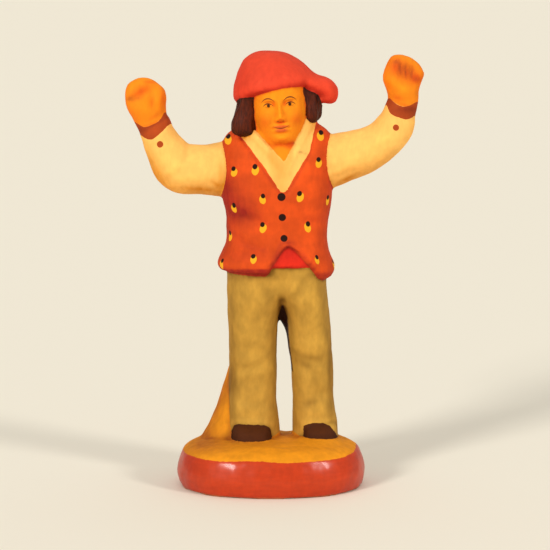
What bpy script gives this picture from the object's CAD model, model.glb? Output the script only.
"""A hand-painted santon of fired clay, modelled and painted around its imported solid.

Everything is drawn in millimetres and shrunk to metres once. The free forms of the figure are drawn with the
ground between the feet at height 0. The figure faces -Y. Left and right are the viewer's.
"""

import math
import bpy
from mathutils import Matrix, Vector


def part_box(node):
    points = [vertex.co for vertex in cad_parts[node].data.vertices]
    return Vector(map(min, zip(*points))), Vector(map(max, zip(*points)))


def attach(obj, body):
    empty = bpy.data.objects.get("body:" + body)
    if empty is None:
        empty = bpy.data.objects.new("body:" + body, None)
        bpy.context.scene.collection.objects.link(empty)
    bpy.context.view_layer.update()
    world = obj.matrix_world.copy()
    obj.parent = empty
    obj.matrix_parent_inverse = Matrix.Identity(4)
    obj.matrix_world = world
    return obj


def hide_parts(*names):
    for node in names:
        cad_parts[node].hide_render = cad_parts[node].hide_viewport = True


bl_info = {
    "name": "Santon figure",
    "version": (1, 0, 0),
    "blender": (4, 5, 0),
    "location": "View3D > Sidebar > Santon",
    "description": "Models and paints a small clay figure with raised arms on its oval base",
    "category": "Object",
}

from functools import partial

import bmesh
import bpy
import numpy as np
from bpy.props import FloatProperty, FloatVectorProperty, PointerProperty
from bpy.types import Operator, Panel, PropertyGroup
from mathutils import Matrix, Vector, noise
from mathutils.bvhtree import BVHTree

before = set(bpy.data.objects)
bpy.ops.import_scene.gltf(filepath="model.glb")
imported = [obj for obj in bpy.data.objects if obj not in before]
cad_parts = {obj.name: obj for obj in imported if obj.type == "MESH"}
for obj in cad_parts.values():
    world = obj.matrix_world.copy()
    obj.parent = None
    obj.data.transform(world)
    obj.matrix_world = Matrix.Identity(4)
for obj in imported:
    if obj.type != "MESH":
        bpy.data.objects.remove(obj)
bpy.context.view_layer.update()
LOW, HIGH = (Vector(corner) * 1000 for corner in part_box("santon_figure"))

DRAWN_HEIGHT = 62.4  # the height, ground to cap, that the free forms are drawn for
CAMERA_RISE = 9  # degrees above level from which the camera looks
CAMERA_TARGET, CAMERA_DISTANCE = Vector((0.00063, 0, 0.0341)), 0.45  # in metres
SIGHT_SLOPE = math.tan(math.radians(CAMERA_RISE))
FIGURE = "santon_figure_painted"
CLAY = "clay_"  # the rough forms' names start with this, until they are pressed into one


def linear(colour):
    """An sRGB hex colour as linear red, green and blue."""
    parts = [int(colour[i : i + 2], 16) / 255 for i in (1, 3, 5)]
    return tuple(c / 12.92 if c <= 0.04045 else ((c + 0.055) / 1.055) ** 2.4 for c in parts)


# Sizes and paints that a user may change


def length(name, description, millimetres):
    return FloatProperty(
        name=name, description=description, default=millimetres / 1000, min=0.00005, precision=5,
        subtype="DISTANCE", unit="LENGTH",
    )


class SantonSizes(PropertyGroup):
    total_height: length("Height", "From the underside to the top of the cap", HIGH.z)
    base_width: length("Base width", "The oval base, side to side", 30.3)
    base_depth: length("Base depth", "The oval base, front to back", HIGH.y - LOW.y)
    rim_height: length("Rim height", "From the underside to where the rim turns into the ground", 5.6)
    ground_rise: length("Ground rise", "How far the ground swells above the rim", 2.0)
    grain: length("Grain", "Size of the cells that the pressed clay is made of", 0.31)
    relief: FloatProperty(
        name="Relief", description="How deep the modelling tool cut", default=1, min=0, max=2, subtype="FACTOR"
    )


# Each paint: what it is, its colour, and the colour of the wash in its hollows and on its undersides
PAINTS = {
    "skin": ("Flesh paint", "#FA920F", "#D94706"),
    "hand": ("Flesh paint on the hands", "#F08711", "#D94706"),
    "shirt": ("Cream shirt", "#FFC264", "#D9851C"),
    "waistcoat": ("Orange-red waistcoat", "#DA4D11", "#9A2316"),
    "sash": ("Vermilion sash", "#DA2914", "#B01D13"),
    "trousers": ("Khaki trousers", "#C29239", "#7D5517"),
    "shoes": ("Brown-black shoes", "#4B2102", "#321402"),
    "hair": ("Brown hair", "#4D1802", "#2F0C01"),
    "cap": ("Red cap", "#DF4326", "#C02616"),
    "ground": ("Ochre ground", "#E28E13", "#A75911"),
    "rim": ("Varnished rim", "#BF380D", "#A72B0B"),
    "cuff": ("Brown-red cuffs", "#AC4415", "#842C0E"),
}
MARKS = {
    "clay": ("Bare fired clay", "#B9693F"),
    "dab": ("Yellow dabs", "#F3AE1E"),
    "dot": ("Black dots", "#240B03"),
    "line": ("Fine brown lines", "#6B3313"),
    "lips": ("Lips", "#D5502A"),
    "dirt": ("Grey smudge", "#9A6A3A"),
    "grime": ("Brown wash on the hands", "#A04618"),
    "shadow": ("Dark paint between the legs", "#31160D"),
}

# The order in which the coats are brushed on, over the shirt's cream
COATS = ("trousers", "skin", "cuff", "hand", "waistcoat", "sash", "shoes", "hair", "cap", "ground", "rim")
TABLE, WALL, LAMPLIGHT = "#F7F0DE", "#EDE6D4", "#FFFDFA"


def paint(name, hexadecimal):
    return FloatVectorProperty(
        name=name, description=f"Colour of the {name.lower()}", subtype="COLOR", min=0, max=1,
        default=linear(hexadecimal),
    )


class SantonPaints(PropertyGroup):
    __annotations__ = {
        **{key: paint(name, main) for key, (name, main, _) in PAINTS.items()},
        **{f"{key}_wash": paint(f"{name} wash", wash) for key, (name, _, wash) in PAINTS.items()},
        **{key: paint(name, colour) for key, (name, colour) in MARKS.items()},
    }


def size(name):
    """One of the lengths that a user may change, in millimetres."""
    return getattr(bpy.context.scene.santon_sizes, name) * 1000


def ground_level():
    return size("rim_height") + size("ground_rise")


def figure_scale():
    return (size("total_height") - ground_level()) / DRAWN_HEIGHT


def place(points):
    """Drawn points of the figure, at its real height and standing on the ground."""
    return points * figure_scale() + (0, 0, ground_level())


def drawn(points):
    """The other way: real millimetres back to the figure's drawn ones."""
    return (points - (0, 0, ground_level())) / figure_scale()


# Clay forms


def smoothstep(x, low, high):
    t = np.clip((x - low) / (high - low), 0, 1)
    return t * t * (3 - 2 * t)


def bump(distance):
    return np.exp(-distance * distance)


def turned(dx, dh, angle):
    """Offsets along and across a line that leans by an angle."""
    return dx * math.cos(angle) + dh * math.sin(angle), dh * math.cos(angle) - dx * math.sin(angle)


def spline(points, t):
    """Points and directions at t, from 0 to 1, on a smooth curve through evenly timed points."""
    spans = len(points) - 1
    i = np.minimum((t * spans).astype(int), spans - 1)
    w = (t * spans - i)[:, None]
    knots = np.vstack([2 * points[0] - points[1], points, 2 * points[-1] - points[-2]])
    before, start, end, after = (knots[i + k] for k in range(4))
    leave, arrive = (end - before) / 2, (after - start) / 2
    second, third = 3 * (end - start) - 2 * leave - arrive, 2 * (start - end) + leave + arrive
    return start + leave * w + second * w**2 + third * w**3, leave + 2 * second * w + 3 * third * w**2


def form(
    bm, stations, sides=72, rows=48, square=2.0, level=True, rounding=(0.6, 0.6), carve=None, placed=place
):
    """Adds a closed form swept along a smooth spine, shaped from a sphere whose rings slide along it.

    Each station is x, y, z, half width and half depth, from low to high. Sections are superellipses with the
    exponent square, level or across the spine. rounding is the length of each round end, 0 for flat. carve
    works on the drawn points, and placed brings them to their real place."""
    stations = np.array(stations, float)
    spans = len(stations) - 1
    steps = np.linalg.norm(np.diff(stations[:, :3], axis=0), axis=1)
    low, high = (r / spans / steps[i] if r else 0 for r, i in zip(rounding, (0, -1)))
    quarter = np.linspace(0, math.pi / 2, 9)[1:-1]
    rings = [(0, 0), (1, 0), *((low + (1 - low - high) * i / (rows - 1), 1) for i in range(rows))]
    rings += [(low * (1 - math.cos(a)), math.sin(a)) for a in quarter if low]
    rings += [(1 - high * (1 - math.cos(a)), math.sin(a)) for a in quarter if high]
    rings = np.array(sorted(rings))
    if rings[-1][1]:
        rings[[-2, -1]] = rings[[-1, -2]]
    ball = bmesh.ops.create_uvsphere(bm, u_segments=sides, v_segments=len(rings) - 1, radius=1)["verts"]
    co = np.array([v.co for v in ball])
    ring = np.rint((1 - np.arccos(np.clip(co[:, 2], -1, 1)) / math.pi) * (len(rings) - 1)).astype(int)
    t, full = rings[ring].T
    angle = np.arctan2(co[:, 1], co[:, 0])
    point, along = spline(stations[:, :3], t)
    width, depth = spline(stations[:, 3:], t)[0].T * full
    if level:
        along = np.broadcast_to([0.0, 0, 1], along.shape)
    else:
        along = along / np.linalg.norm(along, axis=1)[:, None]
    back = np.array([0, 1, 0]) - along * along[:, 1:2]
    back /= np.linalg.norm(back, axis=1)[:, None]
    across = np.cross(back, along)
    curve = lambda v: np.sign(v) * np.abs(v) ** (2 / square)
    point = point + across * (width * curve(np.cos(angle)))[:, None]
    point = point + back * (depth * curve(np.sin(angle)))[:, None]
    if carve:
        carve(point)
    for v, p in zip(ball, placed(point)):
        v.co = p


def put(name, data):
    """Sets a new object in the scene."""
    obj = bpy.data.objects.new(name, data)
    bpy.context.scene.collection.objects.link(obj)
    return obj


def shaped(name, build):
    """A new mesh object, shaped by a function that works on its bmesh."""
    bm = bmesh.new()
    build(bm)
    mesh = bpy.data.meshes.new(name)
    bm.to_mesh(mesh)
    bm.free()
    return put(name, mesh)


def convex(x, h, corners):
    """How far points lie inside a convex outline that is given anticlockwise and open at the top."""
    inside = np.full(len(x), 99.0)
    for (x0, h0), (x1, h1) in zip(corners, corners[1:]):
        run, climb = x1 - x0, h1 - h0
        inside = np.minimum(inside, (run * (h - h0) - climb * (x - x0)) / math.hypot(run, climb))
    return inside


# The V of the open shirt, of the waistcoat and of the bare neck, from the left shoulder round to the right
SHIRT_V = [(-2.8, 50.4), (2.15, 44.9), (5.5, 51.8)]
WAISTCOAT_V = [(-5.2, 49.3), (1.5, 40.2), (2.7, 40.5), (6.1, 46.2), (7.1, 50.9)]
NECK_V = [(-3.6, 50.9), (2.1, 44.45), (5.5, 51.2)]
# The right shoe's outline under the trouser leg, from its right end over the toe to its left end
RIGHT_SHOE = [(10.6, 0.4), (9.5, 1.95), (8.3, 2.45), (6.6, 2.45), (5.2, 1.95), (5.15, 0)]
SHOULDER_SLOPE = 0.05
HEAD_X, HEAD_PIVOT, HEAD_TILT = 1.4, 53, math.radians(5)
BODY_X = 0.95
PARTING_X = 2.6  # where the waistcoat's fronts part over the sash
CROTCH = 21.6  # where the gap between the legs ends
ARMS_X = 12  # beyond this, to both sides, there are only arms


def slope_shoulders(p):
    p[:, 2] += SHOULDER_SLOPE * (p[:, 0] - 0.9) * smoothstep(p[:, 2], 32, 42)


def sink(p, outline, depth):
    """Presses the front of a garment in where its V is open, so that what is under it shows."""
    open_part = smoothstep(convex(p[:, 0], p[:, 2], outline), -0.12, 0.18) * smoothstep(-p[:, 1], 0.2, 1)
    p[:, 1] += depth * open_part
    p[:, 2] -= depth * open_part * smoothstep(p[:, 2], 46, 49)


def hem_lift(x):
    away = np.abs(x - PARTING_X) / np.where(x < PARTING_X, 3.2, 4.8)
    return 6 * np.clip(1.05 - np.hypot(away, 0.18), 0, 1)


# Base, ground and buttress


def model_base(bm):
    w, d = size("base_width") / 2, size("base_depth") / 2
    rim_height, rise = size("rim_height"), size("ground_rise")
    rim = [(0.945, 0), (0.965, 0.05), (0.982, 0.16), (0.995, 0.32), (1, 0.46), (0.99, 0.63)]
    rim += [(0.972, 0.8), (0.948, 0.97)]
    swell = [(0.93, 0.15), (0.9, 0.34), (0.85, 0.56), (0.77, 0.77), (0.62, 0.92), (0.4, 1)]
    profile = [(r, rim_height * share) for r, share in rim]
    profile += [(r, rim_height + rise * share) for r, share in swell]
    stations = [(0, 0, z, w * r, d * r) for r, z in profile]
    real = lambda points: points

    def dip(p):
        p[:, 2] -= 0.55 * bump((p[:, 0] - 2.6) / 1.8) * smoothstep(p[:, 1], 2, 6.5) * smoothstep(p[:, 2], 3, 6)

    form(bm, stations, sides=128, square=2.25, rounding=(0, 0), placed=real, carve=dip)

    on_base = lambda x, y, z, half, depth: (w * x, d * y, rim_height + rise * z, w * half, d * depth)

    def on_leg(x, y, h, half, depth):
        x, y, z = place(np.array([x, y, h]))
        return x, y, z, half, depth

    buttress = [
        on_base(-0.49, 0.28, -0.6, 0.3, 0.48),
        on_base(-0.47, 0.3, 0.75, 0.275, 0.43),
        on_leg(-6.55, 3.7, 1.6, 3.55, 4.3),
        on_leg(-5.7, 3.7, 4.8, 3.05, 3.7),
        on_leg(-5.05, 3.5, 8.4, 2.6, 3.2),
        on_leg(-4.5, 3.1, 11.6, 2.2, 2.8),
        on_leg(-3.8, 2.4, 15.4, 1.5, 2.1),
    ]
    form(bm, buttress, rounding=(0, 1), placed=real)
    mound = [
        on_leg(7.5, -1.1, -1.4, 4.6, 4.6),
        on_leg(7.5, -1.2, -0.2, 3.9, 3.9),
        on_leg(7.4, -1.2, 0.5, 3, 3),
    ]
    form(bm, mound, rounding=(0, 0.7), placed=real)


# Trousers, sash and shoes


def creased(creases):
    def carve(p):
        front = smoothstep(-p[:, 1], -0.5, 0.8)
        for h, slant, x, depth in creases:
            across = (p[:, 2] - h - slant * (p[:, 0] - x)) / 0.8
            p[:, 1] += depth * front * bump(across) * bump((p[:, 0] - x) / 3)

    return carve


def model_trousers(bm):
    left = [
        (-2.8, 1.7, -1.6, 4.1, 4.1),
        (-2.8, 1.6, 2, 4.15, 4.2),
        (-2.95, 1.5, 6, 3.85, 3.8),
        (-2.92, 1.3, 11, 3.85, 3.75),
        (-2.9, 1.1, 16, 3.92, 4),
        (-2.85, 0.9, 20, 4.1, 4.5),
        (-2.35, 0.7, 24, 4.75, 5),
        (-2, 0.6, 29, 5, 5.3),
    ]
    right = [
        (7.15, 2, -1.6, 3.6, 3.9),
        (7.1, 1.9, 2, 3.65, 4),
        (6.8, 1.8, 6, 3.35, 3.6),
        (6.65, 1.5, 11, 3.4, 3.6),
        (6.2, 1.2, 16, 3.5, 3.9),
        (6, 0.9, 20, 3.4, 4.4),
        (5, 0.7, 24, 3.95, 5),
        (4, 0.6, 29, 4.9, 5.3),
    ]
    left_creases = [(12, 0.25, -3, 0.35), (6.4, -0.2, -4, 0.25)]
    right_creases = [(13.2, -0.3, 6, 0.25), (7.2, 0.25, 8, 0.2)]
    form(bm, left, rows=64, square=2.15, rounding=(0, 0), carve=creased(left_creases))
    form(bm, right, rows=64, square=2.15, rounding=(0, 0), carve=creased(right_creases))
    web = [
        (6.2, 2.8, 6, 1.2, 1.4),
        (4.5, 3.3, 13, 1.5, 1.9),
        (3.8, 3.1, 17, 1.5, 2.2),
        (3, 2.9, 20, 2.2, 2.6),
        (1.9, 2.4, 24, 2.9, 3),
        (1.4, 1.8, 28, 3.4, 3.2),
    ]
    form(bm, web, rounding=(1, 1))
    hips = [
        (1.9, 1.6, 21.3, 1.8, 2.2),
        (1.8, 1.3, 22.6, 2.8, 3.3),
        (1.7, 1, 24, 3.8, 4.2),
        (1.4, 0.8, 26.5, 6.3, 4.8),
        (1.1, 0.6, 29, 7.5, 5.5),
        (0.9, 0.6, 33, 7.7, 5.4),
    ]
    form(bm, hips, square=2.3, rounding=(0.8, 1))


def model_sash(bm):
    form(bm, [(0.95, 0.6, 28.3, 7.7, 6), (0.9, 0.6, 33.5, 7.5, 5.2)], square=2.6, rounding=(0.25, 0))


def model_shoes(bm):
    for x, y, w, d in ((-3.1, -0.6, 3.15, 3.7), (7.9, -0.1, 2.75, 3.2)):
        stations = [
            (x, y, -1.6, w * 0.96, d * 0.95),
            (x, y - 0.1, 0.6, w, d),
            (x, y + 0.2, 1.9, w * 0.95, d * 0.85),
            (x, y + 0.9, 3, w * 0.76, d * 0.55),
        ]
        form(bm, stations, square=2.5, rounding=(0, 0.7))


# Shirt and waistcoat


def model_shirt(bm):
    stations = [
        (0.9, 0.6, 30, 7.2, 5.2),
        (0.9, 0.6, 36, 7.6, 5.3),
        (0.9, 0.6, 41, 8.2, 5.7),
        (0.95, 0.5, 44.5, 8.2, 5.65),
        (1.1, 0.4, 47.5, 7.3, 5.2),
        (1.3, 0.2, 49.5, 6.2, 4.9),
        (1.5, 0, 51.6, 5.8, 4.8),
    ]

    def carve(p):
        slope_shoulders(p)
        sink(p, SHIRT_V, 1.4)

    form(bm, stations, sides=160, rows=90, square=2.2, rounding=(1, 0), carve=carve)


def model_waistcoat(bm):
    hem = 26.8
    stations = [
        (0.8, 0.7, hem, 8.8, 6),
        (0.8, 0.7, 28.2, 9.4, 6.6),
        (0.75, 0.7, 30, 8.7, 6.45),
        (0.9, 0.65, 31.8, 8.15, 6.05),
        (0.95, 0.6, 34.4, 8.1, 5.8),
        (1.1, 0.6, 37.2, 8.4, 5.85),
        (0.95, 0.6, 40, 8.8, 6.05),
        (0.9, 0.5, 44.5, 8.65, 6),
        (0.9, 0.6, 47, 8.65, 5.5),
        (0.9, 0.7, 49, 8.25, 4.8),
        (0.9, 0.8, 50.2, 6.95, 4.2),
        (1, 0.9, 51.2, 5, 3.4),
    ]

    def carve(p):
        rise = np.clip(1 - (p[:, 2] - hem) / 11, 0, 1)
        front = smoothstep(-p[:, 1], 1, 4)
        p[:, 2] += hem_lift(p[:, 0]) * front * rise * rise
        p[:, 2] -= 0.03 * (p[:, 0] - 0.85) * rise
        corners = 0.25 * smoothstep(-p[:, 0], 6.7, 7.3) - 0.8 * smoothstep(p[:, 0], 6, 8.5)
        p[:, 2] += corners * smoothstep(-p[:, 1], -2, 2) * rise**5
        fold = (p[:, 2] - 31.4 + 0.22 * (p[:, 0] + 2)) / 0.8
        p[:, 1] += 0.3 * front * bump(fold) * bump((p[:, 0] + 2.5) / 4)
        slope_shoulders(p)
        sink(p, WAISTCOAT_V, 1.3)

    form(bm, stations, sides=192, rows=120, square=2.3, rounding=(0.5, 0.6), carve=carve)


# Sleeves, cuffs and hands


def model_sleeves(bm):
    left = [
        (-3.5, 0.9, 43.9, 4, 3.2),
        (-7.6, 0.9, 43.45, 4.35, 3.4),
        (-11, 0.5, 43.45, 3.95, 3.7),
        (-14.6, 0, 43.95, 4.05, 3.6),
        (-16.8, -0.5, 46.9, 3.2, 3.2),
        (-18.1, -0.9, 49.5, 2.7, 2.6),
    ]
    right = [
        (4.5, 0.9, 44.4, 4, 3.2),
        (8.8, 0.9, 44.7, 4.3, 3.4),
        (11.4, 0.5, 45.4, 4, 3.6),
        (15.25, 0, 46.7, 3.6, 3.5),
        (18.1, -0.5, 48.6, 3.15, 3.1),
        (19.7, -0.9, 50.7, 3.05, 2.8),
        (20.3, -1, 52.6, 2.6, 2.4),
    ]
    for stations in (left, right):
        form(bm, stations, level=False, rounding=(0, 0.4))
    left_cuff = [(-17.6, -0.9, 48.3, 2.75, 2.75), (-18.2, -1, 50, 2.65, 2.55), (-18.7, -1.1, 51.4, 2.6, 2.4)]
    right_cuff = [(20.1, -1, 51.8, 2.65, 2.5), (20.45, -1, 53.2, 2.55, 2.35), (20.85, -1.1, 54.4, 2.45, 2.25)]
    for stations in (left_cuff, right_cuff):
        form(bm, stations, rows=20, level=False, rounding=(0.3, 0.3))


def model_hands(bm):
    left = [
        (-18.7, -1.1, 50, 2.3, 2),
        (-19.2, -1.2, 51.8, 2.75, 2),
        (-19.7, -1.3, 53.7, 3.15, 2),
        (-19.75, -1.4, 55.3, 3.3, 1.95),
        (-19.95, -1.3, 56.8, 2.9, 1.7),
        (-20.2, -1.2, 58.3, 1.6, 1.1),
    ]
    right = [
        (20.8, -1.1, 53.2, 2.3, 2),
        (20.9, -1.1, 54.9, 2.45, 1.9),
        (20.75, -1.2, 56.4, 2.6, 1.9),
        (20.75, -1.3, 58, 3.15, 1.8),
        (21.2, -1.3, 59.7, 3.05, 1.7),
        (21.3, -1.3, 61.8, 1.85, 1.3),
    ]

    def slant(p):
        p[:, 2] -= 0.33 * (p[:, 0] - 21.1) * smoothstep(p[:, 2], 57, 61.5)

    def thumb(p):
        p[:, 0] -= 0.35 * bump((p[:, 0] + 17.8) / 0.7) * bump((p[:, 2] - 57.4) / 0.6)

    form(bm, left, square=2.2, rounding=(0, 0.9), carve=thumb)
    form(bm, right, square=2.2, rounding=(0, 0.9), carve=slant)


# Neck, head, hair and cap


def model_head(bm):
    neck = [
        (1.4, -0.1, 40, 4.6, 4.7),
        (1.4, -0.3, 45.4, 4.6, 4.8),
        (1.4, -0.5, 47.9, 4.25, 4.1),
        (1.4, -0.9, 50, 4.25, 4.25),
        (1.4, -0.6, 52, 3.2, 3.6),
    ]
    form(bm, neck, rounding=(0, 0.5))
    head = [
        (HEAD_X, -3.2, 48.1, 2.1, 2.2),
        (HEAD_X, -2.5, 49.4, 3.1, 3.3),
        (HEAD_X, -1.8, 51.2, 4, 4.3),
        (HEAD_X, -1.3, 53.4, 4.4, 4.9),
        (HEAD_X, -1, 55.9, 4.5, 5.2),
        (HEAD_X, -0.8, 58.4, 4.2, 5),
        (HEAD_X, -0.7, 60.6, 3, 3.8),
    ]

    def tilt(p):
        across, up = turned(p[:, 0] - HEAD_X, p[:, 2] - HEAD_PIVOT, -HEAD_TILT)
        p[:, 0], p[:, 2] = HEAD_X + across, HEAD_PIVOT + up

    form(bm, head, sides=128, rows=80, rounding=(0.5, 1), carve=tilt)


def model_hair(bm):
    back = [
        (0.7, 1.9, 50, 5.4, 3.4),
        (0.75, 1.5, 51.2, 6.8, 4.7),
        (0.95, 1.2, 53, 6.75, 5.2),
        (1.1, 0.9, 55, 6.3, 5.5),
        (0.65, 0.4, 57.2, 5.4, 5.3),
        (0.4, 0.2, 58.9, 4, 4.2),
    ]

    def climb(p):
        p[:, 2] += 0.14 * (p[:, 0] - 1)

    form(bm, back, sides=128, square=2.2, rounding=(0.9, 0.8), carve=climb)
    left = [
        (-4.05, -1.9, 49.2, 1.8, 2.2),
        (-4.35, -2, 50.8, 2, 2.4),
        (-4, -1.9, 53.4, 1.6, 2.2),
        (-3.4, -2, 56.6, 1.4, 2),
    ]
    right = [
        (6.4, -1.7, 51.3, 1.2, 2.1),
        (6.5, -1.7, 52.7, 1.3, 2.2),
        (6.4, -1.5, 55.2, 1.3, 2),
        (5.9, -1.2, 56.8, 1.2, 1.7),
    ]
    for stations in (left, right):
        form(bm, stations, rounding=(0.7, 0.5))


def model_cap(bm):
    crown = [
        (0.5, -0.2, 56.6, 6, 6),
        (0.55, -0.2, 57.4, 6.5, 6.5),
        (0.45, -0.1, 58.6, 6.35, 6.2),
        (0.35, 0, 60, 5.4, 5.4),
        (-0.05, 0.1, 61.4, 3.8, 3.9),
        (-0.3, 0.2, 62.4, 1.8, 1.8),
    ]

    def slant(p):
        at_brim = 1 - smoothstep(p[:, 2], 57, 61)
        p[:, 2] += (0.2 * (p[:, 0] - 0.5) - 0.2 * (p[:, 1] + 6.5)) * at_brim

    tail = [
        (1.8, -0.2, 59.15, 2.4, 4.2),
        (4.6, -0.5, 58.4, 1.75, 3.8),
        (6.6, -0.9, 57.45, 1.45, 3.3),
        (8.2, -0.9, 56.85, 1.6, 2.8),
        (9, -0.8, 55.87, 1.7, 2.4),
        (8.6, -0.8, 54.15, 1.5, 1.9),
    ]
    form(bm, crown, sides=128, rounding=(0.4, 0.3), carve=slant)
    form(bm, tail, level=False, rounding=(0.5, 0.8))


# The rough forms by colour, in the order that they are laid down
FORMS = {
    "ground": model_base,
    "trousers": model_trousers,
    "shoes": model_shoes,
    "sash": model_sash,
    "waistcoat": model_waistcoat,
    "shirt": model_shirt,
    "sleeves": model_sleeves,
    "hands": model_hands,
    "head": model_head,
    "hair": model_hair,
    "cap": model_cap,
}


class SantonStep:
    """What the steps share. Unless it does something else, a step models rough forms."""

    bl_options = {"REGISTER", "UNDO"}
    models = ()

    def execute(self, context):
        for name in self.models:
            shaped(CLAY + name, FORMS[name])
        return {"FINISHED"}


class SANTON_OT_base(SantonStep, Operator):
    """Models the oval base, its ground and the buttress"""

    bl_idname = "santon.base"
    bl_label = "Base and buttress"
    models = ("ground",)


class SANTON_OT_legs(SantonStep, Operator):
    """Models the trousers, shoes and sash"""

    bl_idname = "santon.legs"
    bl_label = "Trousers, shoes and sash"
    models = ("trousers", "shoes", "sash")


class SANTON_OT_body(SantonStep, Operator):
    """Models the shirt and waistcoat"""

    bl_idname = "santon.body"
    bl_label = "Shirt and waistcoat"
    models = ("waistcoat", "shirt")


class SANTON_OT_arms(SantonStep, Operator):
    """Models the sleeves, cuffs and hands"""

    bl_idname = "santon.arms"
    bl_label = "Sleeves and hands"
    models = ("sleeves", "hands")


class SANTON_OT_head(SantonStep, Operator):
    """Models the neck, head, hair and cap"""

    bl_idname = "santon.head"
    bl_label = "Head, hair and cap"
    models = ("head", "hair", "cap")


# Pressing the forms into one, and the relief of the modelling tool


def read(mesh, kind="co"):
    """The vertices' places, or with "normal" the ways they face."""
    values = np.empty(len(mesh.vertices) * 3, np.float32)
    mesh.vertices.foreach_get(kind, values)
    return values.reshape(-1, 3).astype(float)


def move(mesh, places):
    mesh.vertices.foreach_set("co", places.astype(np.float32).ravel())
    mesh.update()


def head_frame(p):
    """Drawn points as the head has them: across from its middle line, out to the front, and up."""
    across, up = turned(p[:, 0] - HEAD_X, p[:, 2] - HEAD_PIVOT, HEAD_TILT)
    return across, -p[:, 1], HEAD_PIVOT + up


def refine(mesh, fine):
    """Clears the hollows that the forms enclosed, makes the flat underside one face, and cuts faces in four
    where their vertices are marked as fine, so that small features and paint edges hold."""
    bm = bmesh.new()
    bm.from_mesh(mesh)
    edges = [e for e in bm.edges if all(fine[v.index] for v in e.verts)]
    bmesh.ops.subdivide_edges(bm, edges=edges, cuts=1, use_grid_fill=True)
    outside, front = set(), [max(bm.verts, key=lambda v: v.co.z)]
    while front:
        v = front.pop()
        if v not in outside:
            outside.add(v)
            front += [e.other_vert(v) for e in v.link_edges]
    bmesh.ops.delete(bm, geom=[v for v in bm.verts if v not in outside], context="VERTS")
    lowest = min(v.co.z for v in bm.verts) + size("grain") / 2
    under = [f for f in bm.faces if all(v.co.z < lowest for v in f.verts)]
    bmesh.ops.dissolve_faces(bm, faces=under, use_verts=True)
    bm.to_mesh(mesh)
    bm.free()


def softened(co, mesh, rounds):
    """Positions or values as if rubbed: each round, every point goes halfway to the mean of its neighbours."""
    pairs = np.empty(len(mesh.edges) * 2, np.int32)
    mesh.edges.foreach_get("vertices", pairs)
    a, b = pairs.reshape(-1, 2).T
    point, beside = np.concatenate([a, b]), np.concatenate([b, a])
    count = np.bincount(point, minlength=len(co))[:, None]
    for _ in range(rounds):
        total = np.stack([np.bincount(point, column[beside], len(co)) for column in co.T], 1)
        co = (co + total / count) / 2
    return co


# Places where the clay is raised or pressed in: x, height, half width, half height and how far.
# On the face, x is the distance from its middle line to either side.
FEATURES = [
    (0, 54.3, 0.42, 0.8, 0.45),  # bridge of the nose
    (0, 53.3, 0.48, 0.75, 0.75),
    (0, 52.4, 0.58, 0.5, 0.95),  # tip
    (0.62, 52.15, 0.32, 0.36, 0.42),  # nostrils
    (0, 51.6, 0.8, 0.22, -0.25),
    (1.75, 54.45, 0.85, 0.55, -0.42),  # eye sockets
    (0.85, 54.5, 0.4, 0.5, -0.25),
    (1.75, 54.35, 0.62, 0.36, 0.34),  # eyelids
    (1.75, 54.8, 0.7, 0.12, -0.1),
    (1.75, 53.92, 0.7, 0.12, -0.08),
    (1.6, 55.3, 1.1, 0.3, 0.16),  # brows
    (2.6, 52.3, 1.2, 1.1, 0.35),  # cheeks
    (1.4, 51.5, 0.3, 0.7, -0.1),
    (0, 50.9, 1.6, 1, 0.22),  # lips
    (0, 51, 1, 0.22, 0.2),
    (0, 51.45, 0.2, 0.25, -0.08),
    (0, 50.72, 1.15, 0.1, -0.22),
    (1.25, 50.75, 0.25, 0.25, -0.14),
    (0, 50.38, 0.85, 0.26, 0.25),
    (0, 49.85, 0.9, 0.25, -0.18),
    (0, 49.1, 1.1, 0.6, 0.38),  # chin
]
HAND_SWELLS = [
    (-17.7, 54.8, 0.75, 1.6, 0.4), (-18.8, 54.6, 0.4, 1.5, -0.18), (-20.6, 53.3, 1.4, 1.2, 0.2),
    (21.8, 59.2, 1.4, 1.3, -0.5), (19, 58, 0.9, 1.4, 0.4), (21.2, 56, 1.2, 1, 0.25),
]
# Grooves between each hand's fingers: where they lie, how they lean, about which height, and their half width
FINGERS = [((-21.7, -20.6, -19.5), 0.05, 55.6, 0.28), ((20.2, 21.2, 22.2), 0.12, 58.6, 0.25)]


def raised(x, h, swells):
    return sum(rise * bump((x - cx) / wide) * bump((h - ch) / tall) for cx, ch, wide, tall, rise in swells)


def face_relief(p):
    across, out, up = head_frame(p)
    return raised(np.abs(across), up, FEATURES) * smoothstep(out, 2.4, 4.4)


def hand_relief(p):
    """Grooves between the fingers, the thumbs and the palms, as movement towards the viewer."""
    x, y, h = p.T
    front = smoothstep(-y, 0.8, 1.8)
    out = raised(x, h, HAND_SWELLS) * front
    crease = (h - 54.7 - 0.5 * (x + 22.8) + 0.05 * (x + 20.8) ** 2) / 0.5
    out -= front * 0.25 * bump(crease) * bump((x + 21.6) / 1.8)
    right_fingers = smoothstep(h, 57.7, 58.6) * smoothstep(-h, -61.6, -60.8)
    fingers = np.where(x < 0, smoothstep(h, 55.6, 56.8), right_fingers)
    for grooves, lean, middle, wide in FINGERS:
        for groove in grooves:
            line = (x - groove - lean * (h - middle)) / wide
            out -= np.where(y < -1.2, 0.2, -0.2) * fingers * bump(line)
    return out


def hair_relief(p):
    """Locks that hang from the crown, with finer strands combed into them."""
    x, y, h = p.T
    turn = np.arctan2(x - 1.1, 0.5 - y)
    sway = 0.4 * np.sin(0.8 * h + 2 * turn)
    fall = smoothstep(h, 48.8, 50.2)
    locks = np.abs(np.cos(5.5 * turn + sway)) ** 6
    strands = np.sin(27 * turn + 3 * sway) + 0.6 * np.sin(43 * turn - 2 * sway)
    return -0.4 * fall * locks - 0.09 * strands + 0.12


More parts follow.
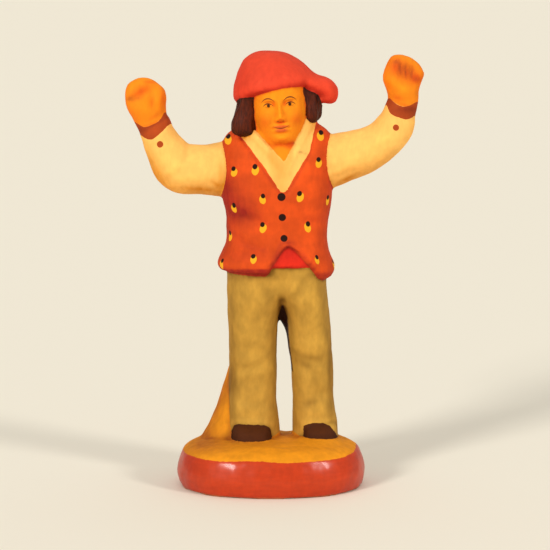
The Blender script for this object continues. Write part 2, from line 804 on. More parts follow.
# Folds of the cloth: x, height, direction in degrees, half length, half width and depth
FOLDS = [
    (-13.4, 45.8, 62, 2.2, 0.5, 0.1), (-14.9, 43.2, 30, 2.4, 0.55, 0.08), (-9.3, 44.6, 75, 2.2, 0.6, 0.07),
    (-17.6, 47.6, 120, 1.6, 0.5, 0.07), (14.4, 48.4, 55, 2.2, 0.5, 0.1), (16.9, 47.2, 35, 2.4, 0.6, 0.07),
    (11.4, 43, 25, 2.4, 0.5, 0.09), (10.6, 46.6, 100, 2.2, 0.6, 0.07), (19.6, 50.2, 75, 1.6, 0.5, 0.07),
    (-4.4, 36.4, -8, 3.4, 0.7, 0.24), (-5.8, 33, -15, 2.4, 0.6, 0.16), (-4.2, 44.6, 50, 2.4, 0.6, 0.12),
    (6.9, 35.4, 168, 2.4, 0.6, 0.18), (6.6, 44.2, 120, 2.4, 0.6, 0.12), (0.7, 31.4, 66, 1.8, 0.5, 0.22),
    (4, 31.2, 114, 1.8, 0.5, 0.2), (-0.9, 24, 115, 3, 0.6, 0.2), (4.4, 24.2, 66, 3, 0.6, 0.2),
    (-2.4, 14.4, -12, 2.6, 1, 0.1), (-3.2, 9.6, 6, 3, 1.1, 0.1), (5.2, 12.1, -27, 1.8, 0.9, 0.18),
    (6.3, 5.7, 15, 1.4, 0.8, 0.12), (-3.2, 3.8, 4, 3.4, 0.6, 0.1), (7.2, 3.6, -6, 3, 0.6, 0.1),
]
# Places where the cloth swells
SWELLS = [
    (-2.7, 29.5, 2.4, 1.8, 0.3), (6.9, 29.6, 2, 1.8, 0.26), (-7.6, 28.2, 1, 1.2, 0.2),
    (-3.6, 39.6, 3, 2.6, 0.22), (6, 39.8, 2.6, 2.8, 0.2), (-3, 12.2, 2, 1.5, 0.18),
    (7.4, 15.4, 1.8, 1.8, 0.25), (-3.2, 6.4, 2.6, 1.4, 0.16), (7, 5.8, 2.2, 1.4, 0.16),
]


def cloth_relief(p):
    """Folds at the elbows, under the arms, across the waistcoat, behind the knees and above the shoes."""
    x, y, h = p.T
    out = np.zeros(len(p))
    front = smoothstep(-y, -1, 1.5)
    for fx, fh, degrees, long, wide, deep in FOLDS:
        along, across = turned(x - fx, h - fh, math.radians(degrees))
        across = (across + 0.05 * along**2) / (1.25 * wide)
        ridge = bump(across) - 0.55 * bump(across - 1.5)
        out -= 0.8 * deep * bump(along / long) * ridge * front
    out += raised(x, h, SWELLS) * front
    out -= 0.2 * bump((h - 27.35) / 0.2) * smoothstep(x, -6.9, -6.3) * smoothstep(-x, 0, 2) * front
    for fx, fh in ((-3, 13.5), (6.6, 14.5), (-3, 21.5), (5.2, 21.5)):
        out -= 0.25 * (1 - front) * bump((h - fh + 0.1 * (x - fx)) / 0.6) * bump((x - fx) / 2.6)
    for fx, fh, slant in ((-2.6, 34, 0.35), (4.6, 35.6, -0.3), (-2, 42, -0.3), (4.4, 42.6, 0.35)):
        out -= 0.22 * (1 - front) * bump((h - fh + slant * (x - fx)) / 0.7) * bump((x - fx) / 3)
    return out


def collar_relief(p):
    """The collar lies as a band along the open neck, with a seam outside it."""
    outside = -convex(*seen(p), SHIRT_V)
    front = smoothstep(-p[:, 1], 1, 2.5)
    band = smoothstep(outside, -0.1, 0.25) * smoothstep(-outside, -1.9, -1.3)
    return front * (0.12 * band - 0.03 * bump((outside - 1.75) / 0.3))


def ground_relief(p):
    """Ridges that a wire left down the buttress."""
    x, y, h = p.T
    ridges = np.sin(3.4 * (x - 0.33 * h) + 2.6 * y)
    return -0.16 * smoothstep(h, 0.6, 3) * np.abs(ridges) ** 3


REACH = 1.6  # how far from a form, in mm, its distance still matters
FADE = 0.45  # how far inside a coat's edge, in mm, its relief reaches its full depth
FOOT = 0.3  # under this height, in mm, the base's foot is left as it was pressed
UNDERSIDE = 0.14  # and under this one it is pressed flat, because softening lifts it a little


def distances(mesh, points):
    """From each point to a rough form's surface, in mm."""
    bm = bmesh.new()
    bm.from_mesh(mesh)
    tree = BVHTree.FromBMesh(bm)
    bm.free()
    form_points = read(mesh)
    low, high = form_points.min(0) - REACH, form_points.max(0) + REACH
    far = np.full(len(points), REACH)
    for i in np.nonzero(((points > low) & (points < high)).all(1))[0]:
        found = tree.find_nearest(points[i], REACH)[3]
        if found is not None:
            far[i] = found
    return far


def uneven(points, lump, shift):
    """Smooth noise with lumps of a size in mm. The shift keeps two of them from falling together."""
    return np.array([noise.noise(Vector(p) / lump + Vector((shift,) * 3)) for p in points.tolist()])


class SANTON_OT_press(SantonStep, Operator):
    """Presses the rough forms into one piece of clay and works its relief"""

    bl_idname = "santon.press"
    bl_label = "Press and model"

    def execute(self, context):
        rough = {name: bpy.data.objects[CLAY + name] for name in FORMS}

        def gather(bm):
            for obj in rough.values():
                bm.from_mesh(obj.data)

        figure = shaped(FIGURE, gather)
        gathered = figure.data
        remesh = figure.modifiers.new("press", "REMESH")
        remesh.mode, remesh.voxel_size = "VOXEL", size("grain")
        pressed = bpy.data.meshes.new_from_object(figure.evaluated_get(context.evaluated_depsgraph_get()))
        figure.modifiers.clear()
        figure.data = pressed
        bpy.data.meshes.remove(gathered)
        pressed.name = FIGURE
        work_clay(pressed, {name: obj.data for name, obj in rough.items()})
        for obj in rough.values():
            bpy.data.objects.remove(obj)
        pressed.transform(Matrix.Scale(0.001, 4))
        pressed.shade_smooth()
        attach(figure, "root")
        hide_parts("santon_figure")
        return {"FINISHED"}


# The rough forms under each coat of paint, in the order in which the coats are brushed on
GROUPS = {
    "shirt": ("shirt", "sleeves"),
    "trousers": ("trousers",),
    "skin": ("head", "hands"),
    "waistcoat": ("waistcoat",),
    "sash": ("sash",),
    "shoes": ("shoes",),
    "hair": ("hair",),
    "cap": ("cap",),
    "ground": ("ground",),
}


def nearest(far, groups):
    return np.min([far[name] for group in groups for name in GROUPS[group]], 0)


def leads(far):
    """How much nearer each point is to each coat's forms than to all others, in mm."""
    return {group: nearest(far, [g for g in GROUPS if g != group]) - nearest(far, [group]) for group in GROUPS}


def work_clay(mesh, rough):
    """Softens the pressed clay, cuts its relief, and works out where each paint goes."""

    def measured():
        real = read(mesh)
        far = {name: distances(form_mesh, real) for name, form_mesh in rough.items()}
        return real, far, leads(far)

    real, far, on = measured()
    p = drawn(real)
    across, out, up = head_frame(p)
    face = (np.abs(across) < 3.9) & (out > 3.2) & (up > 48.3) & (up < 57)
    paint_edges = np.min(np.abs(list(on.values())), 0) < 0.22
    refine(mesh, face | paint_edges | (near_marks(p) < 1.5))
    real, far, on = measured()

    real = softened(real, mesh, 4)
    move(mesh, real)
    p = drawn(real)
    held = {name: smoothstep(value, 0, FADE) for name, value in on.items()}
    depth = hair_relief(p) * held["hair"]
    cloth = smoothstep(nearest(far, ["skin", "hair", "cap", "shoes", "ground"]), 0, FADE)
    depth += cloth_relief(p) * cloth
    depth += collar_relief(p) * held["shirt"]
    depth += ground_relief(p) * held["ground"]
    depth += 0.08 * uneven(real, 3.2, 3) + 0.035 * uneven(real, 1.1, 7)
    depth += 0.06 * uneven(real, 2, 11) * held["ground"]
    cut = bpy.context.scene.santon_sizes.relief
    moved = real + read(mesh, "normal") * (depth * cut)[:, None]
    x, _, h = p.T
    beyond_cuffs = smoothstep(h, 50.8, 52.5) * (x < -ARMS_X) + smoothstep(h, 54, 55.5) * (x > ARMS_X)
    moved[:, 1] -= cut * (face_relief(p) * held["skin"] + hand_relief(p) * beyond_cuffs)
    foot = real[:, 2] < FOOT
    moved[foot] = real[foot]
    moved[real[:, 2] < UNDERSIDE, 2] = 0
    move(mesh, moved)
    paint_maps(mesh, moved, on, far)


# Painted shapes, as distances in mm that are positive inside the paint.
# x and h are as seen by the camera: h is measured where the sight line meets the figure's middle plane.

# Spots of the waistcoat: x and height of each black dot
SPOTS = [
    (-6.8, 48.8), (-5.92, 43.48), (-2.52, 43.75), (-1.25, 39.08), (-5.88, 37.65), (-6.5, 33.28),
    (-1.35, 34.55), (-2.8, 29.5), (-7.75, 28.8), (7.9, 49.3), (7.5, 44.93), (4.5, 39.48), (9.05, 38.95),
    (5.85, 34.68), (7.25, 29.35), (9.85, 28.7),
]
# Behind, they go in rows, every other one shifted
BACK_SPOTS = [(3.9 * i - 6.9 + 1.9 * (j % 2), 30.5 + 5 * j) for j in range(4) for i in range(5 - j % 2)]
# Half width and half height of a dot and of the yellow dab under it, and how far down that lies
DOT, DAB, DAB_DROP = (0.37, 0.42), (0.53, 0.74), 0.6
# Buttons and cuff dots: x, height and radius
BUTTONS = [(1.65, 38.93, 0.65), (1.78, 35.68, 0.58), (2.05, 32.34, 0.56)]
CUFF_DOTS = [(-17.48, 47.36, 0.52), (19.68, 50.0, 0.5)]
# Each cuff's upper edge and lower edge
LEFT_CUFF = (
    [(-21.5, 51), (-20, 50.15), (-18.45, 50.6), (-17.5, 51.3), (-16.85, 52.5)],
    [(-20.7, 48.95), (-19.75, 48.3), (-18.7, 48.15), (-17.35, 49.2), (-15.95, 50.7)],
)
RIGHT_CUFF = (
    [(18.75, 54.75), (19.65, 53.85), (20.75, 53.35), (21.85, 53.55), (23, 54.2)],
    [(18.3, 53.65), (18.8, 52.3), (20.05, 51.6), (21.45, 51.3), (22.75, 52)],
)
# Strokes: x, height, half length, half width, degrees and strength.
# Orange brushed over the flesh paint of the hands, and brown rubbed into it
FLUSH = [
    (-20.5, 55.7, 1.7, 0.75, 33, 0.8), (-19.05, 57.3, 1, 0.3, -5, 0.5), (-16.95, 54.7, 1.2, 0.35, 90, 0.6),
    (-18.2, 51.9, 1.2, 0.35, 35, 0.4), (20.9, 58.95, 2.7, 1.4, -32, 0.75), (22.9, 57.8, 0.8, 0.7, 0, 0.9),
    (19.6, 59.8, 1.4, 0.8, 75, 0.4), (19.9, 54.7, 0.9, 0.4, -20, 0.6),
]
GRIME = [
    (20.9, 59.2, 2.2, 1.2, -30, 0.42), (-22.3, 54.6, 0.5, 0.4, 0, 0.5), (-21, 54.6, 0.7, 0.22, 15, 0.4),
    (20.3, 59.5, 0.9, 0.25, 95, 0.4), (21.2, 59.1, 0.9, 0.2, 95, 0.55), (22.1, 58.7, 0.8, 0.2, 95, 0.55),
    (23, 57.7, 0.5, 0.4, 0, 0.55), (19.7, 60.5, 0.5, 0.4, 0, 0.5),
]
# Dirt on the collar
SMUDGE = [(4.65, 46.05, 0.35, 0.2, 0, 1), (5.5, 45.8, 0.5, 0.12, -15, 0.5), (3.7, 47.4, 0.3, 0.5, 0, 0.6)]
# Broad strokes that left the paint darker and lighter
DARKER = [
    (1.4, 44, 3, 5, 0, 0.12), (-18.3, 43.1, 3.8, 1, -57, 0.55), (20.6, 47.2, 1.6, 1.4, 60, -0.3),
    (-11.5, 40.3, 3, 0.4, -3, 0.6), (-8.6, 41, 1.4, 0.35, -35, 0.5), (-7.9, 43, 2.2, 0.6, 90, 0.3),
    (12, 41.9, 1.9, 0.35, 25, 0.6), (-7.2, 40.5, 3, 1.2, 90, 0.4), (-5.6, 39, 3.8, 2.6, 90, 0.4),
    (-4.8, 36.2, 2.8, 2.4, -10, 0.5), (-7.4, 33.5, 2.5, 0.9, 90, 0.3), (9.6, 36, 4, 0.6, 90, 0.25),
    (0.9, 29.5, 2.2, 0.5, 66, 0.6), (2.7, 31.6, 0.9, 0.4, 0, 0.5), (5.6, 29.2, 2, 0.4, -50, 0.4),
    (8.2, 26.6, 1.6, 0.4, 0, 0.5), (-3.5, 29.6, 4.5, 1.6, 0, 0.3), (3.4, 30.8, 1.2, 1.2, -50, 0.2),
    (21.2, 53, 1.4, 0.4, 5, 0.5), (20.6, 52.3, 1.8, 0.8, 0, 0.3), (-1, 46.2, 3.2, 0.7, -48, 0.2),
    (-18.6, 50.4, 1.2, 0.2, 25, 0.5), (1.7, 24.2, 2.6, 1.3, 90, -0.6), (-6.2, 12, 10, 0.6, 90, 0.3),
    (9.6, 12, 9, 0.5, 90, 0.4), (-4.5, 8.5, 2.2, 1.4, 0, 0.3), (5.2, 12.1, 1.5, 0.6, -27, 0.45),
    (6.3, 5.7, 1.3, 0.6, 15, 0.45), (7.6, 9, 1.5, 2.2, 0, 0.3), (-3, 26, 5, 0.5, 0, 0.3),
    (-8.3, 6, 7, 0.9, 65, 0.5), (-10.5, -0.6, 3.2, 1.6, 0, 0.8), (-13.8, -5.5, 2.2, 3.5, 0, 0.5),
    (-3, -0.8, 4, 0.4, 0, 0.3), (7.5, 0.2, 3, 0.4, 0, 0.3),
]
LIGHTER = [
    (7, 16.5, 2.4, 1, 95, 0.1), (-2.8, 20.8, 2.2, 1.3, 10, 0.08), (-2.6, 14.3, 0.6, 0.5, 0, 0.12),
    (-3.8, 6.4, 1.4, 0.8, 0, 0.1), (8, 5.4, 1.6, 0.5, 95, 0.12), (-3, 3.9, 2.4, 0.45, 0, 0.1),
    (7, 3.9, 1.8, 0.4, -5, 0.1), (6.2, 36, 1.6, 7, 0, 0.18), (-2.5, 43, 2, 4, 0, 0.05),
    (20.4, 56.5, 1, 0.5, -35, 0.14), (-18.9, 49.3, 1.6, 0.7, 20, 0.14), (6.2, 22.3, 1.8, 1.4, 90, 0.12),
    (-1.7, 57, 0.6, 0.2, 50, 0.3), (2.3, 57.7, 0.4, 0.2, -30, 0.3), (0, -1.6, 7, 1, 0, 0.05),
    (12, -5.5, 2.5, 3.5, 0, 0.14),
]


NOWHERE = -9.0  # the distance inside a shape for points that are far outside it


def seen(p):
    return p[:, 0], p[:, 2] + SIGHT_SLOPE * p[:, 1]


def on_front(y):
    return -y - 0.3


def near_marks(p):
    """Distance to the middle of the nearest spot with its dab, button or cuff dot."""
    x, h = seen(p)
    marks = [(-1, cx, ch) for cx, ch, _ in BUTTONS + CUFF_DOTS]
    marks += [(side, cx, ch - 0.4) for side, spots in ((-1, SPOTS), (1, BACK_SPOTS)) for cx, ch in spots]
    return np.min([np.where(side * p[:, 1] > 0, np.hypot(x - cx, h - ch), 9) for side, cx, ch in marks], 0)


def above(x, h, line):
    """Height over a smooth line through the given points."""
    xs, hs = spline(np.array(line, float), np.linspace(0, 1, 40))[0].T
    return h - np.interp(x, xs, hs)


def stroked(x, h, strokes):
    """How strongly soft strokes cover each point."""
    total = np.zeros(len(x))
    for cx, ch, long, wide, degrees, strength in strokes:
        along, across = turned(x - cx, h - ch, math.radians(degrees))
        total += strength * bump(along / long) * bump(across / wide)
    return total


def oval(x, h, centre, halves, swell, lean=0.0):
    """Distance inside an oval whose half width and half height are swollen, and that leans."""
    wide, tall = (half * swell for half in halves)
    along, across = turned(x - centre[0], h - centre[1], lean)
    return (1 - np.hypot(along / wide, across / tall)) * min(wide, tall)


def coat_edges(mesh, p, far):
    """How far inside each coat's painted area every point lies, over the coats that are on before it."""
    x, y = p[:, 0], p[:, 1]
    h = seen(p)[1]
    coats = list(GROUPS)
    over = {coat: nearest(far, coats[:i]) - nearest(far, [coat]) for i, coat in enumerate(coats) if i}

    def redraw(coat, where, lead):
        over[coat] = np.where(where, lead, over[coat])

    # the waistcoat's V, the bare neck, the right shoe and the ground between the feet have drawn edges
    in_v = np.minimum(convex(x, h, WAISTCOAT_V), on_front(y))
    bare = nearest(far, ["trousers", "skin"]) - far["waistcoat"]
    redraw("waistcoat", (np.abs(x - BODY_X) < 7) & (y < 0), np.minimum(-in_v, bare))
    jaw = np.where(x < HEAD_X, 51.5, 49.3)
    redraw("skin", (np.abs(x - HEAD_X) < 5) & (h > 42) & (h < jaw) & (y < -1), convex(x, h, NECK_V))
    redraw("shoes", (x > 4) & (y < 0.4), convex(x, h, RIGHT_SHOE))
    ochre = np.maximum(over["ground"], 1.5 * bump((x - 2.5) / 1.6) - h)
    redraw("ground", (y < 4) & (np.abs(x - 2.5) < 2.4), ochre)
    for coat in ("hair", "cap"):
        over[coat] = softened(over[coat][:, None], mesh, 3)[:, 0]
    return over


def dots_and_dabs(x, y, h):
    """The waistcoat's dots with their dabs, the buttons, and the cuffs' dots."""
    front = on_front(y)
    dots = dabs = cuff_dots = np.full(len(x), NOWHERE)
    for i, (cx, ch) in enumerate(SPOTS + BACK_SPOTS):
        side = -1 if i < len(SPOTS) else 1
        middle = np.argmin(np.hypot(x - cx, h - ch) + 9 * (side * y < 0))
        if ch < 42 or side > 0:
            around = np.hypot(x - cx, y - y[middle])
        else:
            around = np.where(y < 0, np.abs(x - cx), 9)
        across = np.copysign(around, x - cx)
        lean, swell = 0.35 * math.sin(5 * i), 1 + 0.1 * math.sin(3 * i + 1)
        dots = np.maximum(dots, oval(across, h, (0, ch), DOT, swell, lean))
        dabs = np.maximum(dabs, oval(across, h, (-0.3 * lean, ch - DAB_DROP), DAB, swell, lean))
    for cx, ch, radius in BUTTONS:
        dots = np.maximum(dots, np.minimum(oval(x, h, (cx, ch), (1, 1), radius), front))
    for cx, ch, radius in CUFF_DOTS:
        cuff_dots = np.maximum(cuff_dots, np.minimum(oval(x, h, (cx, ch), (1, 1), radius), front))
    return {"dot": dots, "dab": dabs, "cuff_dot": cuff_dots}


def cuffs_and_hands(x, h):
    cuffs = hands = np.full(len(x), NOWHERE)
    for top, bottom in (LEFT_CUFF, RIGHT_CUFF):
        arm = (x * top[0][0] > 0) & (np.abs(x) > ARMS_X)
        over_top = above(x, h, top)
        cuffs = np.where(arm, np.minimum(-over_top, above(x, h, bottom)), cuffs)
        hands = np.where(arm, over_top, hands)
    return {"on_cuff": cuffs, "on_hand": hands}


def dark_gap(x, y, h):
    """The hollow between the legs, which was painted dark, between its left and right edges."""
    right = np.interp(h, (6, 9, 12, 15.3, 19.5, CROTCH), (3.9, 3.7, 3.4, 2.95, 2.65, 2))
    left = np.interp(h, (12, 17, 19.5, CROTCH), (1.6, 1.5, 1.05, 1.7))
    return np.min([right - x, x - left, CROTCH - h, 0.5 * (h - 10.8), 2.8 - y], 0)


def washes(mesh, moved, x, y, h, on):
    """How strongly washes settle in hollows, where forms meet, on undersides and down the sides, how worn high
    spots are, and where the surface faces the front."""
    out = read(mesh, "normal")
    rubbed = [softened(moved, mesh, rounds) for rounds in (8, 60)]
    hollows = np.stack([np.einsum("ij,ij->i", soft - moved, out) for soft in rubbed], 1)
    small, large = softened(hollows, mesh, 3).T
    under = smoothstep(-out[:, 2], -0.1, 0.9)
    sides = smoothstep(np.abs(out[:, 0]), 0.45, 1)
    fine = np.where(on["skin"] > 0, 0.5, np.where(on["hair"] > 0, 0.9, 0.32))
    wash = np.where((on["shirt"] > 0) | (on["skin"] > 0), 0.6, 1) * (0.75 * under + 0.34 * sides)
    wash += fine * smoothstep(small, 0.012, 0.08) + 0.5 * smoothstep(large, 0.05, 0.4)
    meet = np.min([np.abs(v) for v in on.values()], 0)
    wash += 0.3 * (1 - smoothstep(meet, 0.02, 0.4))
    wash += 0.9 * smoothstep(27.5 - h, 0, 0.3) * smoothstep(1 - x, 0, 1) * (on["waistcoat"] > 0) * (y < 0)
    facing = smoothstep(-out[:, 1], -0.15, 0.1) * (y < 6)
    worn = smoothstep(-small, 0.012, 0.06) + smoothstep(-large, 0.06, 0.4)
    return wash, worn, facing


def paint_maps(mesh, moved, on, far):
    """Stores where each paint goes and how strongly, for the material to read."""
    p = drawn(moved)
    x, y = p[:, 0], p[:, 1]
    h = seen(p)[1]
    maps = {f"on_{coat}": lead for coat, lead in coat_edges(mesh, p, far).items()}
    maps |= cuffs_and_hands(x, h) | dots_and_dabs(x, y, h)
    maps["between"] = np.minimum(dark_gap(x, y, h), on["trousers"])

    # the rim's paint was brushed on freehand: its edge wanders, and climbs a little on the right
    turn = np.arctan2(y, x)
    edge = size("rim_height") + 0.2 + 0.3 * smoothstep(x, 6, 13)
    edge += 0.14 * np.sin(3 * turn + 0.6) + 0.08 * np.sin(7 * turn + 2)
    maps["on_rim"] = edge - moved[:, 2]

    wash, worn, facing = washes(mesh, moved, x, y, h, on)
    pale_hem = 0.8 * bump((far["shoes"] - 0.5) / 0.3) * (on["trousers"] > 0) * (y < 0)
    across, _, up = head_frame(p)
    blush = 0.55 * bump((np.abs(across) - 2.5) / 1.1) * bump((up - 51.9) / 1.1) * smoothstep(-y, 2, 4)
    maps["lighter"] = stroked(x, h, LIGHTER) * facing
    strengths = {
        "wash": wash + stroked(x, h, DARKER) * facing,
        "worn": worn + pale_hem,
        "blush": blush + stroked(x, h, FLUSH) * facing,
        "grime": stroked(x, h, GRIME) * facing,
        "smudge": stroked(x, h, SMUDGE) * facing,
    }
    maps |= {name: np.clip(strength, 0, 1) for name, strength in strengths.items()}
    for name, values in maps.items():
        mesh.attributes.new(name, "FLOAT", "POINT").data.foreach_set("value", values.astype(np.float32))


# Paint


def add_node(tree, kind, inputs=(), output=0, **settings):
    """Adds a node with its settings, sets or links its inputs by place or name, and gives one output."""
    node = tree.nodes.new(f"ShaderNode{kind}")
    for key, value in settings.items():
        setattr(node, key, value)
    for socket, value in inputs.items() if isinstance(inputs, dict) else enumerate(inputs):
        if isinstance(value, bpy.types.NodeSocket):
            tree.links.new(value, node.inputs[socket])
        else:
            node.inputs[socket].default_value = value
    return node.outputs[output] if node.outputs else None


# Each paint lies thicker and thinner in its own way: blots to the millimetre, detail, how they are squeezed
# along the axes, and the darkest and the lightest
BLOTS = {
    "trousers": (0.42, 4, (1.3, 1.3, 0.8), 0.88, 1.1),
    "waistcoat": (0.3, 3, (1, 1, 1.4), 0.9, 1.08),
    "hair": (1, 3, (4.5, 4.5, 0.6), 0.62, 1.35),
    "rim": (0.5, 3, (0.7, 0.7, 4), 0.96, 1.05),
    "ground": (0.4, 2, (0.6, 2, 1.4), 0.93, 1.05),
}
MATT = 0.74  # the gouache's roughness, but for these
SHEENS = {"hair": 0.6, "rim": 0.4}


class SANTON_OT_paint(SantonStep, Operator):
    """Paints the figure by hand, over the fired clay"""

    bl_idname = "santon.paint"
    bl_label = "Paint"

    def execute(self, context):
        figure = bpy.data.objects[FIGURE]
        figure.data.materials.clear()
        figure.data.materials.append(gouache_on_clay(context.scene.santon_paints))
        return {"FINISHED"}


def gouache_on_clay(paints):
    """Matt gouache brushed on fired clay: opaque flat colour with faint streaks and darker hollows. The rim
    alone is varnished, so it is smooth and mirrors the lamps."""
    material = bpy.data.materials.new("gouache_on_fired_clay")
    material.use_nodes = True
    tree = material.node_tree
    tree.nodes.clear()
    add = partial(add_node, tree)
    smooth = {"interpolation_type": "SMOOTHSTEP"}
    metres = add("TexCoord", output="Object")
    where = add("Mapping", {"Vector": metres, "Scale": (1000,) * 3})

    def speckle(scale, detail, squeeze=(1, 1, 1)):
        """Noise with about this many blots to the millimetre, drawn out along the axes that are squeezed."""
        squeezed = add("Mapping", {"Vector": where, "Scale": squeeze})
        return add("TexNoise", {"Vector": squeezed, "Scale": scale, "Detail": detail}, "Fac")

    # A brush's edge wanders by up to a tenth of a millimetre
    wander = add("Math", [speckle(1.6, 2), 0.24, -0.12], operation="MULTIPLY_ADD")

    def inside(distance, soft=0.04, wobble=1.0):
        """The mask of a painted shape, from the distance inside it."""
        wandering = add("Math", [wander, wobble, distance], operation="MULTIPLY_ADD")
        return add("MapRange", [wandering, -soft, soft], **smooth)

    def over(colour, layers):
        """A colour with more paint over it. Each layer is a mask, its strength and its paint."""
        for mask, strength, paint in layers:
            factor = add("Math", [mask, strength], operation="MULTIPLY")
            colour = add("Mix", {0: factor, 6: colour, 7: paint}, 2, data_type="RGBA")
        return colour

    def rgba(key):
        return (*getattr(paints, key), 1)

    colour, wash, thickness, roughness = rgba("shirt"), rgba("shirt_wash"), 1.0, MATT
    for key in COATS:
        mask = inside(add("Attribute", output="Fac", attribute_name=f"on_{key}"))
        colour = over(colour, [(mask, 1, rgba(key))])
        wash = over(wash, [(mask, 1, rgba(f"{key}_wash"))])
        blots = 1.0
        if key in BLOTS:
            *pattern, darkest, lightest = BLOTS[key]
            blots = add("MapRange", [speckle(*pattern), 0.3, 0.7, darkest, lightest], **smooth)
        thickness = add("Mix", {0: mask, 2: thickness, 3: blots})
        roughness = add("Mix", {0: mask, 2: roughness, 3: SHEENS.get(key, MATT)})
    on_rim = mask

    # how strongly each stroke and stain covers the coats, or how far inside a dot or dab a point lies
    maps = {
        key: add("Attribute", output="Fac", attribute_name=key)
        for key in ("wash", "blush", "grime", "worn", "lighter", "dab", "dot", "cuff_dot", "between", "smudge")
    }
    # the wash is thin, and the brush leaves streaks of it
    streaks = speckle(0.9, 3, (1.6, 1.6, 0.35))
    thin = add("Math", [streaks, 0.7, 0.6], operation="MULTIPLY_ADD")
    rubbing = add("MapRange", [speckle(1.5, 3, (1.6, 1.6, 0.6)), 0.3, 0.6, 0.45, 1.1], **smooth)
    layers = [
        (maps["wash"], thin, wash),
        (maps["blush"], 0.88, rgba("skin_wash")),
        (maps["grime"], rubbing, rgba("grime")),
    ]
    colour = over(colour, layers)
    brushed = add("MapRange", [speckle(1.3, 3, (1, 1, 0.5)), 0.3, 0.7, 0.95, 1.05], **smooth)
    worn = add("Math", [maps["worn"], 0.1, 1.0], operation="MULTIPLY_ADD")
    lighter = add("Math", [worn, maps["lighter"]], operation="ADD")
    uneven_paint = add("Math", [thickness, brushed], operation="MULTIPLY")
    gain = add("Math", [uneven_paint, lighter], operation="MULTIPLY")
    grey = add("CombineColor", [gain] * 3)
    colour = add("Mix", {0: 1.0, 6: colour, 7: grey}, 2, data_type="RGBA", blend_type="MULTIPLY")

    # the face's fine lines, in the head's own millimetres
    scale = figure_scale()
    pivot = Vector((HEAD_X, 0, HEAD_PIVOT + ground_level() / scale))
    to_head = {
        "Vector": metres,
        "Scale": (1000 / scale,) * 3,
        "Rotation": (0, HEAD_TILT, 0),
        "Location": -(Matrix.Rotation(HEAD_TILT, 3, "Y") @ pivot),
    }
    side, deep, up = add("SeparateXYZ", [add("Mapping", to_head)]).node.outputs
    both_sides = add("Math", [side], operation="ABSOLUTE")
    facing = add("MapRange", [deep, -3.4, -2.6, 1.0, 0.0], **smooth)

    def from_centre(across, centre):
        here = add("CombineXYZ", [across, up])
        return add("VectorMath", [here, (centre[0], centre[1] - HEAD_PIVOT, 0)], operation="SUBTRACT")

    def stroke(across, centre, radius, width, reach):
        """A brushed arc that thins out to its ends: a circle's top, or its foot for a negative radius."""
        offset = from_centre(across, centre)
        away = add("VectorMath", [offset], "Value", operation="LENGTH")
        beside = add("Math", [add("Math", [away, abs(radius)], operation="SUBTRACT")], operation="ABSOLUTE")
        du, dv, _ = add("SeparateXYZ", [offset]).node.outputs
        share = add("Math", [du, reach], operation="DIVIDE")
        thinning = add("Math", [share, share], operation="MULTIPLY")
        taper = add("Math", [thinning, -width, width], operation="MULTIPLY_ADD")
        ring = add("Math", [taper, beside], operation="SUBTRACT")
        upright = add("Math", [dv, math.copysign(1, radius)], operation="MULTIPLY")
        mask = inside(add("Math", [ring, upright], operation="MINIMUM"), 0.035, 0.1)
        return add("Math", [mask, facing], operation="MULTIPLY")

    def spot(across, centre, wide, tall, soft=0.2):
        shares = add("VectorMath", [from_centre(across, centre), (wide, tall, 1)], operation="DIVIDE")
        away = add("VectorMath", [shares], "Value", operation="LENGTH")
        mask = inside(add("Math", [1, away], operation="SUBTRACT"), soft, 0)
        return add("Math", [mask, facing], operation="MULTIPLY")

    layers = [
        (inside(maps["dab"], 0.05, 0.5), 1, rgba("dab")),
        (inside(maps["dot"], 0.05, 0.3), 1, rgba("dot")),
        (inside(maps["cuff_dot"], 0.05, 0.4), 1, rgba("cuff")),
        (inside(maps["between"], 0.12), 1, rgba("shadow")),
        (maps["smudge"], 0.65, rgba("dirt")),
        (spot(side, (0, 50.98), 1.1, 0.24, 0.4), 0.75, rgba("lips")),
        (spot(side, (0, 50.42), 0.9, 0.28, 0.4), 0.75, rgba("lips")),
        (stroke(side, (0, 52.9), -2.2, 0.075, 1.3), 0.85, rgba("line")),
        (stroke(both_sides, (1.7, 54.35), 1.15, 0.11, 1.1), 0.9, rgba("line")),
        (stroke(both_sides, (1.75, 53.72), 0.95, 0.1, 0.86), 1, rgba("line")),
        (stroke(both_sides, (1.72, 55), -0.95, 0.05, 0.7), 0.45, rgba("line")),
        (spot(both_sides, (1.68, 54.36), 0.26, 0.25), 0.95, rgba("dot")),
        (spot(both_sides, (0.42, 51.85), 0.18, 0.09, 0.4), 0.6, rgba("line")),
    ]
    colour = over(colour, layers)

    # the underside is left unpainted
    height = add("Math", [wander, add("SeparateXYZ", [where], 2)], operation="ADD")
    bare = add("MapRange", [height, 0.12, 0.35, 1.0, 0.0], **smooth)
    colour = over(colour, [(bare, 1, rgba("clay"))])

    # the brush leaves ridges, which the varnish fills
    painted = add("Math", [1, bare], operation="SUBTRACT")
    glaze = add("Math", [on_rim, painted], operation="MULTIPLY")
    bristles = add("Math", [speckle(4.5, 3), 0.5], operation="MULTIPLY")
    ridges = add("Math", [streaks, 0.8, bristles], operation="MULTIPLY_ADD")
    unfilled = add("Math", [glaze, -0.7, 1], operation="MULTIPLY_ADD")
    ridges = add("Math", [ridges, unfilled], operation="MULTIPLY")
    finish = {
        "Base Color": colour,
        "Roughness": roughness,
        "Normal": add("Bump", {"Height": ridges, "Strength": 0.35, "Distance": 0.00004}),
        "IOR": 1.45,
        "Specular IOR Level": 0.2,
        "Coat Weight": add("Math", [glaze, 0.3], operation="MULTIPLY"),
        "Coat Roughness": 0.17,
    }
    add("OutputMaterial", {"Surface": add("BsdfPrincipled", finish)})
    return material


# Stage


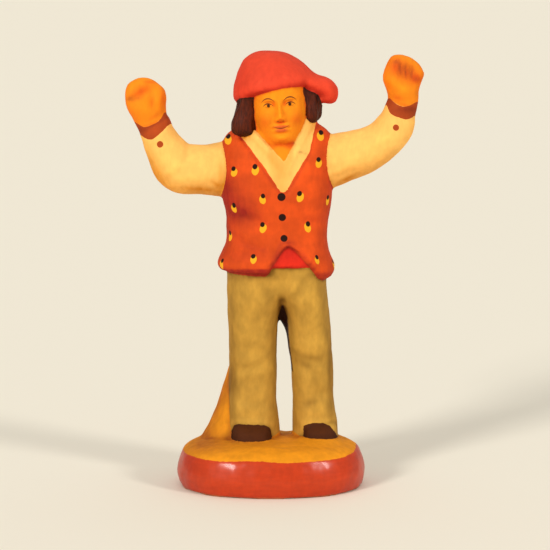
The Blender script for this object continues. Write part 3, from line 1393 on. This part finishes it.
def pale_card():
    """Matt card, which throws no gloss back on the figure."""
    material = bpy.data.materials.new("pale_matt_card")
    material.use_nodes = True
    shader = material.node_tree.nodes["Principled BSDF"]
    shader.inputs["Base Color"].default_value = (*linear(TABLE), 1)
    shader.inputs["Roughness"].default_value = 1
    shader.inputs["Specular IOR Level"].default_value = 0
    return material


def aim(obj, back):
    """Points a lamp or the camera against the direction back."""
    obj.rotation_euler = (-back).to_track_quat("-Z", "Y").to_euler()


def direction(across, up):
    """From the figure to a place this many degrees to the right of its front and this many up."""
    a, e = math.radians(across), math.radians(up)
    return Vector((math.sin(a) * math.cos(e), -math.cos(a) * math.cos(e), math.sin(e)))


class SANTON_OT_stage(SantonStep, Operator):
    """Sets out the table, the lamps and the camera"""

    bl_idname = "santon.stage"
    bl_label = "Stage"

    def execute(self, context):
        table = shaped("table", partial(bmesh.ops.create_grid, x_segments=1, y_segments=1, size=8))
        table.data.materials.append(pale_card())

        # wide soft lamps far off: degrees across and up, strength, width in degrees and colour
        for name, across, up, strength, width, colour in (
            ("key", -38, 24, 1.82, 13, LAMPLIGHT),
            ("fill", 52, 26, 1.08, 11, LAMPLIGHT),
            ("top", 160, 70, 0.5, 60, "#FFFFFF"),
        ):
            lamp = bpy.data.lights.new(name, "SUN")
            lamp.energy, lamp.angle, lamp.color = strength, math.radians(width), linear(colour)
            aim(put(name, lamp), direction(across, up))

        # a dim room lights the shadows, and behind the table it is as pale as the card
        world = bpy.data.worlds.new("room")
        world.use_nodes = True
        world.node_tree.nodes.clear()
        add = partial(add_node, world.node_tree)
        room = add("Background", {"Color": (*linear(LAMPLIGHT), 1), "Strength": 0.4})
        wall = add("Background", {"Color": (*linear(WALL), 1), "Strength": 1.0})
        straight = add("LightPath", output="Is Camera Ray")
        add("OutputWorld", {"Surface": add("MixShader", [straight, room, wall])})
        context.scene.world = world

        lens = bpy.data.cameras.new("camera")
        lens.lens, lens.sensor_width = 184, 36
        camera = put("camera", lens)
        back = direction(0, CAMERA_RISE)
        camera.location = CAMERA_TARGET + back * CAMERA_DISTANCE
        aim(camera, back)
        context.scene.camera = camera
        context.scene.view_settings.view_transform = "Standard"
        return {"FINISHED"}


class SANTON_PT_panel(Panel):
    bl_idname = "SANTON_PT_panel"
    bl_label = "Santon"
    bl_space_type = "VIEW_3D"
    bl_region_type = "UI"
    bl_category = "Santon"

    def draw(self, context):
        for step in STEPS:
            self.layout.operator(step.bl_idname)
        for group in (context.scene.santon_sizes, context.scene.santon_paints):
            column = self.layout.column()
            for key in group.__annotations__:
                column.prop(group, key)


STEPS = (
    SANTON_OT_base,
    SANTON_OT_legs,
    SANTON_OT_body,
    SANTON_OT_arms,
    SANTON_OT_head,
    SANTON_OT_press,
    SANTON_OT_paint,
    SANTON_OT_stage,
)
CLASSES = (SantonSizes, SantonPaints, *STEPS, SANTON_PT_panel)


def register():
    for cls in CLASSES:
        bpy.utils.register_class(cls)
    bpy.types.Scene.santon_sizes = PointerProperty(type=SantonSizes)
    bpy.types.Scene.santon_paints = PointerProperty(type=SantonPaints)


def unregister():
    del bpy.types.Scene.santon_sizes
    del bpy.types.Scene.santon_paints
    for cls in reversed(CLASSES):
        bpy.utils.unregister_class(cls)


def main():
    register()
    for step in STEPS:
        group, name = step.bl_idname.split(".")
        getattr(getattr(bpy.ops, group), name)()
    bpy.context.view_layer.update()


if __name__ == "__main__":
    main()
